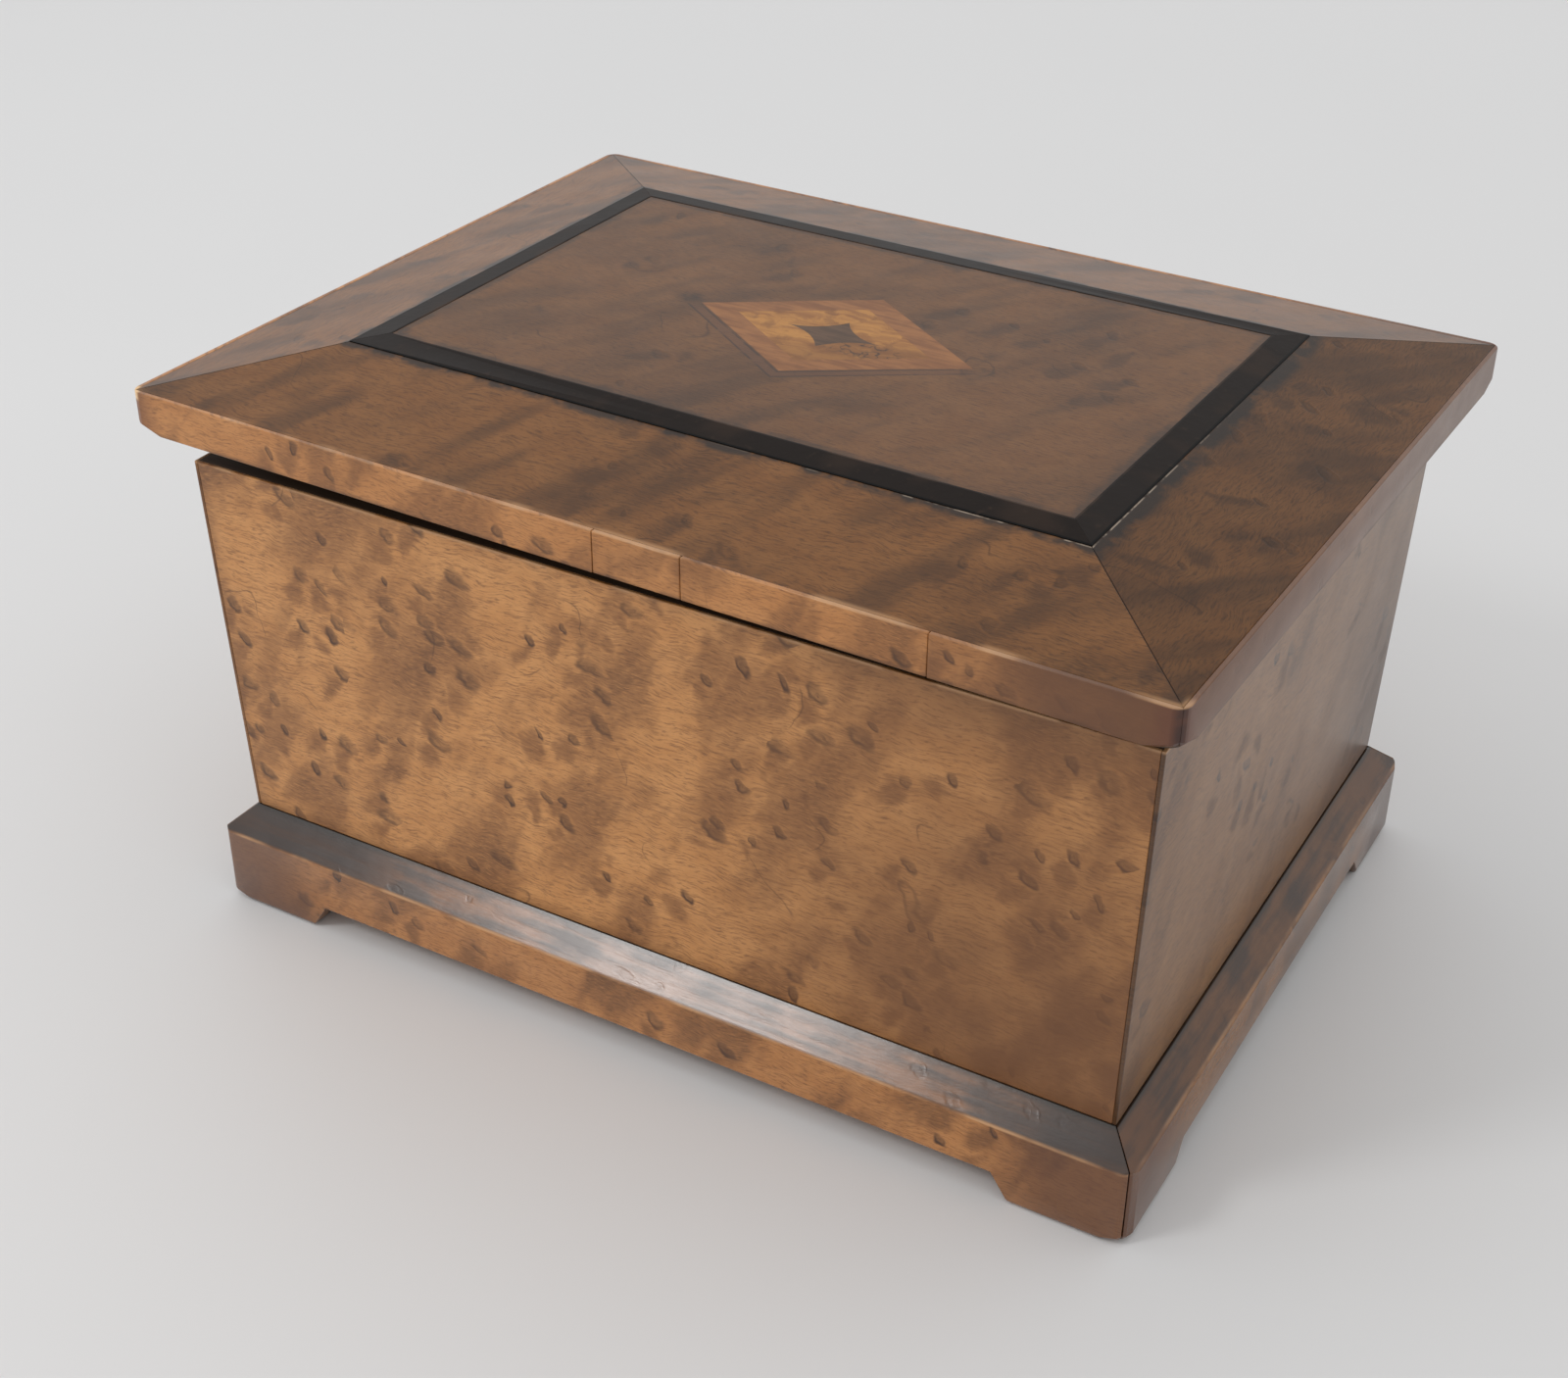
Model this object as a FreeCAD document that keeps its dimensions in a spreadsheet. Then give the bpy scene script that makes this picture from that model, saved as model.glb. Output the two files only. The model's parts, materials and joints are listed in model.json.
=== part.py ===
import FreeCAD
import Part
import Sketcher
import math
import os
import re

# Wooden puzzle box in millimetres, +Z up. The origin is the middle of the base, on the floor.
# The lid swings level on a hidden corner pivot, the right plinth length fronts a drawer,
# and a loose pin reached from below locks the lid.

SIZES = {
    # Case
    "case_length": 250.0,
    "case_width": 180.0,
    "case_height": 103.0,
    "wall_flare": 2.8,
    "wall_thickness": 10.0,
    "veneer_thickness": 1.0,
    "bottom_thickness": 6.0,
    "neck_thickness": 4.0,
    # Plinth
    "plinth_height": 28.5,
    "plinth_projection": 7.4,
    "plinth_bevel": 6.8,
    "plinth_ledge": 6.0,
    "arch_height": 7.6,
    "foot_length": 29.0,
    "foot_cut": 5.0,
    "base_lift": 0.6,
    "base_thickness": 3.0,
    # Lid
    "lid_length": 276.0,
    "lid_width": 205.0,
    "lid_gap": 7.0,
    "lid_core_thickness": 8.0,
    "lid_edge_height": 10.5,
    "lid_rise": 7.5,
    "edge_veneer": 1.2,
    "edge_joint_gap": 0.15,
    "edge_joint_left": -1.0,
    "edge_joint_middle": 22.0,
    "edge_joint_right": 82.0,
    "lid_ajar_angle": 1.2,
    "neck_clearance": 0.25,
    # Band and panel
    "band_inset": 38.0,
    "band_width": 7.5,
    "band_slope": 6.9,
    "band_lip": 0.2,
    "band_proud": 1.25,
    "panel_proud": 1.15,
    # Lozenge
    "lozenge_length": 78.0,
    "lozenge_width": 52.0,
    "lozenge_border": 11.5,
    "inlay_depth": 0.8,
    "star_length": 26.0,
    "star_width": 17.0,
    "star_hollow": 1.05,
    # Lid pivot
    "block_size": 20.0,
    "pivot_block_height": 42.0,
    "pivot_pin_radius": 3.0,
    "bush_wall": 1.5,
    "flange_radius": 7.0,
    "flange_thickness": 1.5,
    "flange_sink": 2.0,
    "collar_radius": 6.0,
    "collar_height": 6.0,
    "pin_tail": 2.0,
    "lid_stop_length": 20.0,
    "lid_stop_width": 6.0,
    "lid_stop_reach": 150.0,
    # Lock
    "lock_pin_radius": 3.0,
    "lock_collar_radius": 4.75,
    "lock_collar_height": 4.0,
    "lock_chamber_depth": 36.0,
    "lock_pin_sink": 1.0,
    "button_radius": 4.5,
    "button_height": 4.0,
    "button_hole_radius": 6.0,
    "button_lift": 1.0,
    "keeper_thickness": 1.5,
    "keeper_rim": 4.0,
    # Drawer
    "drawer_length": 165.0,
    "drawer_travel": 120.0,
    "drawer_board": 5.0,
    "drawer_bottom_thickness": 3.0,
    "stop_length": 12.0,
    "stop_half_width": 20.0,
    "stop_drop": 4.0,
    # Clearances
    "slide_gap": 0.4,
    "running_gap": 0.05,
}

# Levels and lines that several pieces share, as expressions in the sizes above
HALF_LENGTH = "case_length / 2"
HALF_WIDTH = "case_width / 2"
RIM = "(plinth_height + case_height)"
LID_UNDER = f"({RIM} + lid_gap)"
NECK_TOP = f"({LID_UNDER} - neck_clearance)"
CORE_TOP = f"({LID_UNDER} + lid_core_thickness)"
EDGE_TOP = f"({LID_UNDER} + lid_edge_height)"
BAND_LEVEL = f"({EDGE_TOP} + lid_rise)"
PANEL_TOP = f"({BAND_LEVEL} + panel_proud)"
FLOOR_TOP = "(plinth_height + bottom_thickness)"
BASE_UNDER = "(arch_height + base_lift)"
BASE_TOP = f"({BASE_UNDER} + base_thickness)"
WALL_INSIDE_X = f"({HALF_LENGTH} - wall_thickness)"
WALL_INSIDE_Y = f"({HALF_WIDTH} - wall_thickness)"
NECK_INSIDE_X = f"({WALL_INSIDE_X} - neck_thickness)"
NECK_INSIDE_Y = f"({WALL_INSIDE_Y} - neck_thickness)"
BAY_X = f"({WALL_INSIDE_X} - plinth_ledge)"
BAY_Y = f"({WALL_INSIDE_Y} - plinth_ledge)"
PIVOT_X = f"({NECK_INSIDE_X} - block_size / 2)"
PIVOT_Y = f"({NECK_INSIDE_Y} - block_size / 2)"
BAND_OUTER_X = "(lid_length / 2 - band_inset)"
BAND_OUTER_Y = "(lid_width / 2 - band_inset)"
LOCK_TURN = f"2 * sqrt({PIVOT_X}^2 + {PIVOT_Y}^2) * lid_ajar_angle * pi / 180"
KEEPER_HOLE = f"(lock_pin_radius + {LOCK_TURN} + slide_gap)"
SIDES = ("front", "back", "left", "right")

doc = FreeCAD.newDocument("puzzle_box")
sheet = doc.addObject("Spreadsheet::Sheet", "Sizes")
for row, (alias, value) in enumerate(SIZES.items(), start=1):
    sheet.set(f"A{row}", alias)
    sheet.set(f"B{row}", str(value))
    sheet.setAlias(f"B{row}", alias)
doc.recompute()

pieces = []


def bind(text):
    """Point every size named in an expression at its cell in the sheet."""
    return re.sub(r"[a-z_]+", lambda word: f"Sizes.{word[0]}" if word[0] in SIZES else word[0], text)


def new_body(name):
    """A sub-part of the box, exported under its own name."""
    body = doc.addObject("PartDesign::Body", name)
    body.Label = name
    pieces.append(body)
    return body


def new_sketch(body, name, plane="XY_Plane", level="0"):
    """An empty sketch on one of the body's own planes, raised to a level."""
    sketch = body.newObject("Sketcher::SketchObject", name)
    support = [item for item in body.Origin.OriginFeatures if item.Role == plane]
    sketch.AttachmentSupport = [(support[0], "")]
    sketch.MapMode = "FlatFace"
    sketch.setExpression("AttachmentOffset.Base.z", bind(level))
    return sketch


def tie(sketch, kind, geometry, point, text, start):
    """Tie one coordinate of a sketch point to an expression."""
    number = sketch.addConstraint(Sketcher.Constraint(kind, -1, 1, geometry, point, start))
    sketch.setExpression(f"Constraints[{number}]", bind(text))


def add_polygon(sketch, corners):
    """A closed outline through corners given as pairs of expressions."""
    first = sketch.GeometryCount
    count = len(corners)
    turn = 2 * math.pi / count
    start = [FreeCAD.Vector(math.cos(turn * n), math.sin(turn * n)) for n in range(count)]
    for n in range(count):
        sketch.addGeometry(Part.LineSegment(start[n], start[(n + 1) % count]))
    for n in range(count):
        sketch.addConstraint(Sketcher.Constraint("Coincident", first + n, 2, first + (n + 1) % count, 1))
    for n, (across, up) in enumerate(corners):
        tie(sketch, "DistanceX", first + n, 1, across, start[n].x)
        tie(sketch, "DistanceY", first + n, 1, up, start[n].y)


def add_circle(sketch, across, up, radius):
    """A circle whose centre and radius are expressions."""
    number = sketch.addGeometry(Part.Circle(FreeCAD.Vector(1, 1), FreeCAD.Vector(0, 0, 1), 1))
    tie(sketch, "DistanceX", number, 3, across, 1)
    tie(sketch, "DistanceY", number, 3, up, 1)
    size = sketch.addConstraint(Sketcher.Constraint("Radius", number, 1))
    sketch.setExpression(f"Constraints[{size}]", bind(radius))


def add_star(sketch):
    """The four hollow arcs of the star, from tip to tip, with tips and hollows tied to the sheet."""
    first = sketch.GeometryCount
    reach, depth = SIZES["star_length"] / 2, SIZES["star_width"] / 2
    tips = [(reach, 0), (0, depth), (-reach, 0), (0, -depth)]
    places = [("star_length / 2", "0"), ("0", "star_width / 2"),
              ("-star_length / 2", "0"), ("0", "-star_width / 2")]
    tip_to_tip = "sqrt(star_length^2 + star_width^2) / 2"
    waist = 0.3
    for n in range(4):
        (ax, ay), (bx, by) = tips[n], tips[(n + 1) % 4]
        middle = FreeCAD.Vector((ax + bx) * waist, (ay + by) * waist)
        sketch.addGeometry(Part.Arc(FreeCAD.Vector(ax, ay), middle, FreeCAD.Vector(bx, by)))
    for n in range(4):
        after = (n + 1) % 4
        sketch.addConstraint(Sketcher.Constraint("Coincident", first + n, 1, first + after, 2))
        tie(sketch, "DistanceX", first + n, 1, places[after][0], tips[after][0])
        tie(sketch, "DistanceY", first + n, 1, places[after][1], tips[after][1])
        size = sketch.addConstraint(Sketcher.Constraint("Radius", first + n, SIZES["star_length"]))
        sketch.setExpression(f"Constraints[{size}]", bind(f"star_hollow * {tip_to_tip}"))


def stacked(name, sections):
    """A solid with straight sides between outlines at several levels."""
    body = new_body(name)
    outlines = []
    for n, (level, corners) in enumerate(sections):
        outline = new_sketch(body, f"{name}_outline{n}", level=level)
        add_polygon(outline, corners)
        outlines.append(outline)
    loft = body.newObject("PartDesign::AdditiveLoft", f"{name}_loft")
    loft.Profile = outlines[0]
    loft.Sections = outlines[1:]
    loft.Ruled = True
    return body


def padded(name, sketch_level, height, draw):
    """A body made by raising one drawn outline."""
    body = new_body(name)
    sketch = new_sketch(body, f"{name}_outline", level=sketch_level)
    draw(sketch)
    pad = body.newObject("PartDesign::Pad", f"{name}_pad")
    pad.Profile = sketch
    pad.setExpression("Length", bind(height))
    return body


def rectangle(low_x, high_x, low_y, high_y):
    return [(low_x, low_y), (high_x, low_y), (high_x, high_y), (low_x, high_y)]


def board(name, x_span, y_span, z_span):
    """A plain rectangular board between three pairs of faces."""
    corners = rectangle(*x_span, *y_span)
    low, high = z_span
    return padded(name, low, f"{high} - ({low})", lambda sketch: add_polygon(sketch, corners))


def bore(body, name, across, up, radius, level, depth):
    """A round hole sunk upwards from a level."""
    sketch = new_sketch(body, f"{name}_circle", level=level)
    add_circle(sketch, across, up, radius)
    hole = body.newObject("PartDesign::Pocket", name)
    hole.Profile = sketch
    hole.Reversed = True
    hole.setExpression("Length", bind(depth))


def turned(name, profile, across, up):
    """A turned piece: a half profile of radius and level spun about an upright axis."""
    body = new_body(name)
    sketch = new_sketch(body, f"{name}_profile", plane="XZ_Plane")
    add_polygon(sketch, profile)
    spin = body.newObject("PartDesign::Revolution", f"{name}_spin")
    spin.Profile = sketch
    spin.ReferenceAxis = (sketch, ["V_Axis"])
    spin.Angle = 360
    body.setExpression("Placement.Base.x", bind(across))
    body.setExpression("Placement.Base.y", bind(up))
    return body


def ring(inner, outer, low, high):
    return [(inner, low), (outer, low), (outer, high), (inner, high)]


def mitred(side, half_x, half_y, depth):
    """Plan of one side of a frame, with its ends cut on the diagonals."""
    x, y = f"({half_x})", f"({half_y})"
    in_x, in_y = f"({half_x} - ({depth}))", f"({half_y} - ({depth}))"
    if side in ("front", "back"):
        sign = "-" if side == "front" else ""
        return [(f"-{x}", sign + y), (x, sign + y), (in_x, sign + in_y), (f"-{in_x}", sign + in_y)]
    sign = "-" if side == "left" else ""
    return [(sign + x, f"-{y}"), (sign + x, y), (sign + in_x, in_y), (sign + in_x, f"-{in_y}")]


def walls_and_veneers():
    """Mitred walls that widen to the rim, and the veneer sheets on their outer faces."""
    for side in SIDES:
        foot = mitred(side, f"{HALF_LENGTH} - veneer_thickness", f"{HALF_WIDTH} - veneer_thickness",
                      "wall_thickness - veneer_thickness")
        rim = mitred(side, f"{HALF_LENGTH} + wall_flare - veneer_thickness",
                     f"{HALF_WIDTH} + wall_flare - veneer_thickness",
                     "wall_thickness + wall_flare - veneer_thickness")
        stacked(f"{side}_wall", [("plinth_height", foot), (RIM, rim)])
        sheets = []
        for level, flare in (("plinth_height", "0"), (RIM, "wall_flare")):
            outer_x, outer_y = f"({HALF_LENGTH} + {flare})", f"({HALF_WIDTH} + {flare})"
            inner_x, inner_y = f"({outer_x} - veneer_thickness)", f"({outer_y} - veneer_thickness)"
            plans = {
                "front": rectangle(f"-{inner_x}", inner_x, f"-{outer_y}", f"-{inner_y}"),
                "back": rectangle(f"-{inner_x}", inner_x, inner_y, outer_y),
                "left": rectangle(f"-{outer_x}", f"-{inner_x}", f"-{outer_y}", outer_y),
                "right": rectangle(inner_x, outer_x, f"-{outer_y}", outer_y),
            }
            sheets.append((level, plans[side]))
        stacked(f"{side}_veneer", sheets)


def case_inside():
    """Case bottom, and the liner that stands above the rim and carries the lid."""
    bottom = board("case_bottom", (f"-{WALL_INSIDE_X}", WALL_INSIDE_X), (f"-{WALL_INSIDE_Y}", WALL_INSIDE_Y),
                   ("plinth_height", FLOOR_TOP))
    bore(bottom, "case_bottom_lock_hole", f"-{PIVOT_X}", f"-{PIVOT_Y}", "lock_pin_radius + running_gap",
         "plinth_height", "bottom_thickness")
    for side in SIDES:
        plan = mitred(side, WALL_INSIDE_X, WALL_INSIDE_Y, "neck_thickness")
        stacked(f"neck_{side}", [(FLOOR_TOP, plan), (NECK_TOP, plan)])


def plinth_length(name, side, shift="0", drop="0"):
    """One mitred length of plinth with a bevelled top, and an arch cut between its bracket feet."""
    foot = mitred(side, f"{HALF_LENGTH} + plinth_projection", f"{HALF_WIDTH} + plinth_projection",
                  "plinth_projection + wall_thickness + plinth_ledge")
    top = mitred(side, HALF_LENGTH, HALF_WIDTH, "wall_thickness + plinth_ledge")
    foot = [(f"{x} + {shift}", y) for x, y in foot]
    top = [(f"{x} + {shift}", y) for x, y in top]
    body = stacked(name, [(drop, foot), (f"plinth_height - plinth_bevel - {drop}", foot),
                          (f"plinth_height - {drop}", top)])
    along = HALF_LENGTH if side in ("front", "back") else HALF_WIDTH
    plane = "XZ_Plane" if side in ("front", "back") else "YZ_Plane"
    low = f"({along} + plinth_projection - foot_length)"
    high = f"({low} - foot_cut)"
    arch = new_sketch(body, f"{name}_arch_outline", plane=plane)
    add_polygon(arch, [(f"-{low}", "-arch_height"), (low, "-arch_height"), (low, drop),
                       (high, "arch_height"), (f"-{high}", "arch_height"), (f"-{low}", drop)])
    cut = body.newObject("PartDesign::Pocket", f"{name}_arch")
    cut.Profile = arch
    cut.Midplane = True
    cut.setExpression("Length", bind("2 * lid_length"))


def plinth():
    """Fixed plinth lengths and the board that closes the base."""
    for side in ("front", "back", "left"):
        plinth_length(f"plinth_{side}", side)
    base = board("base_board", (f"-{BAY_X}", BAY_X), (f"-{BAY_Y}", BAY_Y), (BASE_UNDER, BASE_TOP))
    bore(base, "base_board_button_hole", f"-{PIVOT_X}", f"-{PIVOT_Y}", "button_hole_radius",
         BASE_UNDER, "base_thickness")


def drawer():
    """Shallow drawer behind the right plinth length, and the stop that keeps it in."""
    front_x = f"({BAY_X} + slide_gap)"
    back_x = f"({front_x} - drawer_length)"
    side_y = f"({BAY_Y} - slide_gap)"
    inner_y = f"({side_y} - drawer_board)"
    under = f"({BASE_TOP} + slide_gap)"
    tray = f"({under} + drawer_bottom_thickness)"
    top = "(plinth_height - slide_gap)"
    plinth_length("drawer_front", "right", shift="slide_gap", drop="slide_gap")
    board("drawer_bottom", (back_x, front_x), (f"-{side_y}", side_y), (under, tray))
    board("drawer_side_front", (back_x, front_x), (f"-{side_y}", f"-{inner_y}"), (tray, top))
    board("drawer_side_back", (back_x, front_x), (inner_y, side_y), (tray, top))
    board("drawer_back", (back_x, f"{back_x} + drawer_board"), (f"-{inner_y}", inner_y), (tray, top))
    stop_x = f"({back_x} + drawer_board + drawer_travel + slide_gap)"
    board("drawer_stop", (stop_x, f"{stop_x} + stop_length"), ("-stop_half_width", "stop_half_width"),
          ("plinth_height - stop_drop", "plinth_height"))


def lid_case_work():
    """Groundwork board, sloping rails, veneered edge, and the panel raised inside an ebonised bevel."""
    core_x, core_y = "(lid_length / 2 - edge_veneer)", "(lid_width / 2 - edge_veneer)"
    core = board("lid_core", (f"-{core_x}", core_x), (f"-{core_y}", core_y), (LID_UNDER, CORE_TOP))
    bore(core, "lid_core_pivot_hole", PIVOT_X, PIVOT_Y, "pivot_pin_radius", LID_UNDER, "lid_core_thickness")
    bore(core, "lid_core_keeper_seat", f"-{PIVOT_X}", f"-{PIVOT_Y}", f"{KEEPER_HOLE} + keeper_rim",
         LID_UNDER, "keeper_thickness")
    bore(core, "lid_core_lock_hole", f"-{PIVOT_X}", f"-{PIVOT_Y}", KEEPER_HOLE,
         LID_UNDER, "lid_core_thickness")
    made = [core]
    rail_depth = "band_inset + band_width"
    for side in SIDES:
        edge = mitred(side, core_x, core_y, f"{rail_depth} - edge_veneer")
        flat = mitred(side, BAND_OUTER_X, BAND_OUTER_Y, "band_width")
        made.append(stacked(f"lid_rail_{side}", [(CORE_TOP, edge), (EDGE_TOP, edge), (BAND_LEVEL, flat)]))
        crest = mitred(side, f"({BAND_OUTER_X} - band_slope)", f"({BAND_OUTER_Y} - band_slope)",
                       "(band_width - band_slope)")
        made.append(stacked(f"band_{side}", [(BAND_LEVEL, flat), (f"{BAND_LEVEL} + band_lip", flat),
                                             (f"{BAND_LEVEL} + band_proud", crest)]))
        if side != "front":
            strip = mitred(side, "lid_length / 2", "lid_width / 2", "edge_veneer")
            made.append(stacked(f"lid_edge_{side}", [(LID_UNDER, strip), (EDGE_TOP, strip)]))
    outer, inner = "-lid_width / 2", f"-{core_y}"
    joints = ["edge_joint_left", "edge_joint_middle", "edge_joint_right"]
    starts = [None] + [f"{joint} + edge_joint_gap" for joint in joints]
    ends = joints + [None]
    for n, (start, end) in enumerate(zip(starts, ends), start=1):
        strip = [(start or "-lid_length / 2", outer), (end or "lid_length / 2", outer),
                 (end or core_x, inner), (start or f"-{core_x}", inner)]
        made.append(stacked(f"lid_edge_front_{n}", [(LID_UNDER, strip), (EDGE_TOP, strip)]))
    field_x, field_y = f"({BAND_OUTER_X} - band_width)", f"({BAND_OUTER_Y} - band_width)"
    panel = board("lid_panel", (f"-{field_x}", field_x), (f"-{field_y}", field_y), (CORE_TOP, PANEL_TOP))
    seat = new_sketch(panel, "lid_panel_inlay_outline", level=f"{PANEL_TOP} - inlay_depth")
    add_polygon(seat, lozenge("0"))
    recess = panel.newObject("PartDesign::Pocket", "lid_panel_inlay")
    recess.Profile = seat
    recess.Reversed = True
    recess.setExpression("Length", bind("inlay_depth"))
    made.append(panel)
    return made


def lozenge(inset):
    """Corners of the lozenge, drawn in from its long tips by an inset and kept in proportion."""
    long = f"(lozenge_length / 2 - {inset})"
    short = f"({long} * lozenge_width / lozenge_length)"
    return [(f"-{long}", "0"), ("0", f"-{short}"), (long, "0"), ("0", short)]


def inlay():
    """Border, burr field and dark star of the lozenge, flush with the panel."""
    level = f"{PANEL_TOP} - inlay_depth"

    def draw_border(sketch):
        add_polygon(sketch, lozenge("0"))
        add_polygon(sketch, lozenge("lozenge_border"))

    def draw_field(sketch):
        add_polygon(sketch, lozenge("lozenge_border"))
        add_star(sketch)

    return [padded("lozenge_border", level, "inlay_depth", draw_border),
            padded("lozenge_field", level, "inlay_depth", draw_field),
            padded("lozenge_star", level, "inlay_depth", add_star)]


def lid_pivot():
    """Corner block and bush in the case, and the pin, washer and collar that turn with the lid."""
    span_x = (f"{PIVOT_X} - block_size / 2", f"{PIVOT_X} + block_size / 2")
    span_y = (f"{PIVOT_Y} - block_size / 2", f"{PIVOT_Y} + block_size / 2")
    block_top = f"({NECK_TOP} - flange_sink)"
    block_under = f"({block_top} - pivot_block_height)"
    bush_bore = "(pivot_pin_radius + running_gap)"
    bush_outer = f"({bush_bore} + bush_wall)"
    flange_top = f"({block_top} + flange_thickness)"
    block = board("pivot_block", span_x, span_y, (block_under, block_top))
    bore(block, "pivot_block_bore", PIVOT_X, PIVOT_Y, bush_outer, block_under, "pivot_block_height")
    collar_top = f"({block_under} - running_gap)"
    collar_under = f"({collar_top} - collar_height)"
    profiles = {
        "pivot_bush": [(bush_bore, block_under), (bush_outer, block_under), (bush_outer, block_top),
                       ("flange_radius", block_top), ("flange_radius", flange_top), (bush_bore, flange_top)],
        "pivot_washer": ring("pivot_pin_radius", "flange_radius", f"{flange_top} + running_gap", LID_UNDER),
        "pivot_collar": ring("pivot_pin_radius", "collar_radius", collar_under, collar_top),
        "pivot_pin": ring("0", "pivot_pin_radius", f"{collar_under} - pin_tail", CORE_TOP),
    }
    for name, profile in profiles.items():
        turned(name, profile, PIVOT_X, PIVOT_Y)


def lid_stop():
    """Lug under the lid that meets the back of the neck when the lid is square."""
    face = f"({WALL_INSIDE_Y} + slide_gap)"
    start = f"({PIVOT_X} - lid_stop_reach)"
    return board("lid_stop", (start, f"{start} + lid_stop_length"), (face, f"{face} + lid_stop_width"),
                 (f"{RIM} + slide_gap", LID_UNDER))


def lock():
    """Bored block with a wide chamber, and the pin and button that rise in it; the keeper is in the lid."""
    span_x = (f"-{PIVOT_X} - block_size / 2", f"-{PIVOT_X} + block_size / 2")
    span_y = (f"-{PIVOT_Y} - block_size / 2", f"-{PIVOT_Y} + block_size / 2")
    chamber_floor = f"({NECK_TOP} - lock_chamber_depth)"
    block = board("lock_block", span_x, span_y, (FLOOR_TOP, NECK_TOP))
    bore(block, "lock_block_bore", f"-{PIVOT_X}", f"-{PIVOT_Y}", "lock_pin_radius + running_gap",
         FLOOR_TOP, f"{NECK_TOP} - {FLOOR_TOP}")
    bore(block, "lock_block_chamber", f"-{PIVOT_X}", f"-{PIVOT_Y}", "lock_collar_radius + running_gap",
         chamber_floor, "lock_chamber_depth")
    button_under = f"({BASE_UNDER} + button_lift)"
    button_top = f"({button_under} + button_height)"
    collar_under = f"({chamber_floor} + running_gap)"
    collar_top = f"({collar_under} + lock_collar_height)"
    pin_top = f"({LID_UNDER} - lock_pin_sink)"
    turned("lock_button", ring("0", "button_radius", button_under, button_top), f"-{PIVOT_X}", f"-{PIVOT_Y}")
    turned("lock_pin", [("0", button_top), ("lock_pin_radius", button_top), ("lock_pin_radius", collar_under),
                        ("lock_collar_radius", collar_under), ("lock_collar_radius", collar_top),
                        ("lock_pin_radius", collar_top), ("lock_pin_radius", pin_top), ("0", pin_top)],
           f"-{PIVOT_X}", f"-{PIVOT_Y}")

    def draw_keeper(sketch):
        add_circle(sketch, f"-{PIVOT_X}", f"-{PIVOT_Y}", KEEPER_HOLE)
        add_circle(sketch, f"-{PIVOT_X}", f"-{PIVOT_Y}", f"{KEEPER_HOLE} + keeper_rim")

    return padded("lock_keeper", LID_UNDER, "keeper_thickness", draw_keeper)


def leave_ajar(lid_pieces):
    """Turn the lid about its pivot to where it stands, a little short of square."""
    centre = f"vector({PIVOT_X}; {PIVOT_Y}; 0)"
    turn = f"placement(vector(0; 0; 0); rotation(vector(0; 0; 1); -lid_ajar_angle); {centre})"
    for piece in lid_pieces:
        piece.setExpression("Placement", bind(turn))


def check_and_export():
    """Stop on a failed object, then write one file per piece."""
    doc.recompute()
    for item in doc.Objects:
        if "Invalid" in item.State or "Error" in item.State:
            raise RuntimeError(f"{item.Name} failed: {item.State}")
    for piece in pieces:
        if piece.Shape.isNull() or not piece.Shape.isValid() or len(piece.Shape.Solids) != 1:
            raise RuntimeError(f"{piece.Label} is not one sound solid")
    os.makedirs("parts", exist_ok=True)
    for piece in pieces:
        piece.Shape.exportStep(f"parts/{piece.Label}.step")
        print(f"{piece.Label}: {piece.Shape.Volume:.1f} mm3")


walls_and_veneers()
case_inside()
plinth()
drawer()
lid_pivot()
leave_ajar(lid_case_work() + inlay() + [lid_stop(), lock()])
check_and_export()
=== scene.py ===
import json
import math

import bpy
from mathutils import Matrix, Vector


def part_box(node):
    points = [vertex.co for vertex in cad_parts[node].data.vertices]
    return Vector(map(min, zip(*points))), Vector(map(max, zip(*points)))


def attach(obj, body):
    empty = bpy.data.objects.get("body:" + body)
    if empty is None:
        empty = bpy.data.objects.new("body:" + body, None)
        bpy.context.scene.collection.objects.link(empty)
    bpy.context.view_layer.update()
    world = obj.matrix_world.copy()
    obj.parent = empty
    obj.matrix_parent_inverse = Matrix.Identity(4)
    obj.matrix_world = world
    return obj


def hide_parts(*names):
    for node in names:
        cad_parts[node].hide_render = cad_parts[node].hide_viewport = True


bl_info = {
    "name": "Veneered puzzle box",
    "version": (1, 0, 0),
    "blender": (4, 5, 0),
    "location": "3D View > Sidebar > Puzzle Box",
    "description": "Finishes a veneered puzzle box and sets its studio",
    "category": "Object",
}

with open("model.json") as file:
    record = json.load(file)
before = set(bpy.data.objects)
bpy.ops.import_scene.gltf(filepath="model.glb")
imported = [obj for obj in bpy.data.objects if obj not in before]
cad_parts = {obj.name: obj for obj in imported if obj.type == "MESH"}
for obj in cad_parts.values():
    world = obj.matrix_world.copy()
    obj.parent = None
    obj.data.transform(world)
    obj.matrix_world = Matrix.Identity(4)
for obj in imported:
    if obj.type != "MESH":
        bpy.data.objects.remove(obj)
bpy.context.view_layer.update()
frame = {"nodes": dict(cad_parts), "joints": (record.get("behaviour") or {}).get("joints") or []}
NODES = frame["nodes"]
PER_M = 1000.0
SIDES = ("front", "back", "left", "right")
LONG_SIDES = ("front", "back")

# Levels of the box and the swing of its lid in millimetres, read from the frame
FOOT_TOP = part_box("plinth_front")[1].z * PER_M
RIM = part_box("front_wall")[1].z * PER_M
EDGE_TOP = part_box("lid_edge_back")[1].z * PER_M
EDGE_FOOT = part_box("lid_edge_back")[0].z * PER_M
HINGE = [joint for joint in frame["joints"] if joint["name"] == "lid_swing"][0]
LID_TURN = -math.radians(HINGE["range_deg"][1])
LID_PIVOT = Vector(HINGE["pos_m"]) * PER_M

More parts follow.
